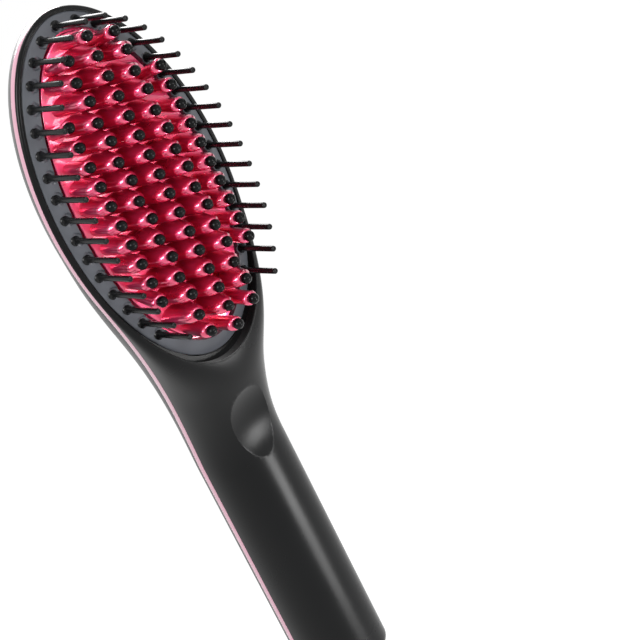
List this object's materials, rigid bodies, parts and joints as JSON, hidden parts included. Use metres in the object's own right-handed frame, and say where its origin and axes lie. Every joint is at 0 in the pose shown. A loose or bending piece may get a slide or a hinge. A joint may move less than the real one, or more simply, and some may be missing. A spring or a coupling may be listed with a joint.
{
  "type": "electric hot hair-straightening brush",
  "caption": "Electric hot brush with a domed oval head, heated comb teeth ringed by pins, a display and buttons on the back of a slim handle.",
  "frame": {"origin": "centre of the cord gland's mouth at the end of the handle", "axes": "+Z along the brush from the handle's end to the head, -Y toward the bristles, +Y toward the back with the display, +X to the right seen from the bristle side"},
  "size_m": [0.0736, 0.0642, 0.2819],
  "materials": {
    "soft_touch_black": "satin soft-touch",
    "satin_black": "satin to gloss",
    "pink_plastic": "gloss",
    "charcoal_nylon": "satin",
    "magenta_metal": "metallic gloss",
    "cap_rubber": "satin",
    "alumina": "matte",
    "mica": "satin",
    "spring_steel": "brushed",
    "steel": "plain",
    "glass_bead": "gloss",
    "red_silicone": "matte",
    "white_silicone": "matte",
    "silver_paint": "satin metallic",
    "clear_window": "gloss",
    "blue_lcd": "gloss",
    "white_plastic": "matte",
    "tray_black": "matte",
    "chrome_bar": "polished",
    "button_black": "satin",
    "green_board": "satin",
    "yellow_case": "satin",
    "brass": "polished"
  },
  "bodies": {
    "brush": {"back_cover": "soft_touch_black", "front_shell": "satin_black", "seam_trim": "pink_plastic", "pin_frame": "charcoal_nylon", "edge_pins": "charcoal_nylon", "comb_teeth": "magenta_metal", "heating_plate": "magenta_metal", "tooth_caps": "cap_rubber", "ceramic_heater": "alumina", "mica_sheet": "mica", "heater_clamp": "spring_steel", "clamp_screws": "steel", "thermistor": "glass_bead", "thermal_fuse": "steel", "heater_leads": "red_silicone", "frame_screws": "steel", "control_panel": "silver_paint", "display_window": "clear_window", "lcd_glass": "blue_lcd", "backlight": "white_plastic", "display_stand": "white_plastic", "button_tray": "tray_black", "button_divider": "chrome_bar", "tact_switches": "tray_black", "control_board": "green_board", "board_screws": "steel", "housing_screws": "steel", "control_chip": "tray_black", "power_triac": "tray_black", "film_capacitor": "yellow_case", "lead_socket": "white_plastic", "mains_leads": "white_silicone", "contact_leaves": "brass", "contact_carrier": "white_plastic"},
    "plus": {"plus_button": "button_black", "plus_plunger": "tray_black"},
    "minus": {"minus_button": "button_black", "minus_plunger": "tray_black"},
    "power": {"power_button": "button_black", "power_plunger": "tray_black"},
    "swivel": {"cord_gland": "satin_black", "gland_clip": "spring_steel", "slip_rings": "brass"}
  },
  "joints": [
    {"name": "plus_press", "type": "slide", "parent": "brush", "child": "plus", "axis": [0, -1, 0], "range_m": [0, 0.0009], "stiffness_N_per_m": 900},
    {"name": "minus_press", "type": "slide", "parent": "brush", "child": "minus", "axis": [0, -1, 0], "range_m": [0, 0.0009], "stiffness_N_per_m": 900},
    {"name": "power_press", "type": "slide", "parent": "brush", "child": "power", "axis": [0, -1, 0], "range_m": [0, 0.0009], "stiffness_N_per_m": 900},
    {"name": "cord_swivel", "type": "hinge", "parent": "brush", "child": "swivel", "pos_m": [0, 0, 0], "axis": [0, 0, 1], "continuous": true}
  ]
}
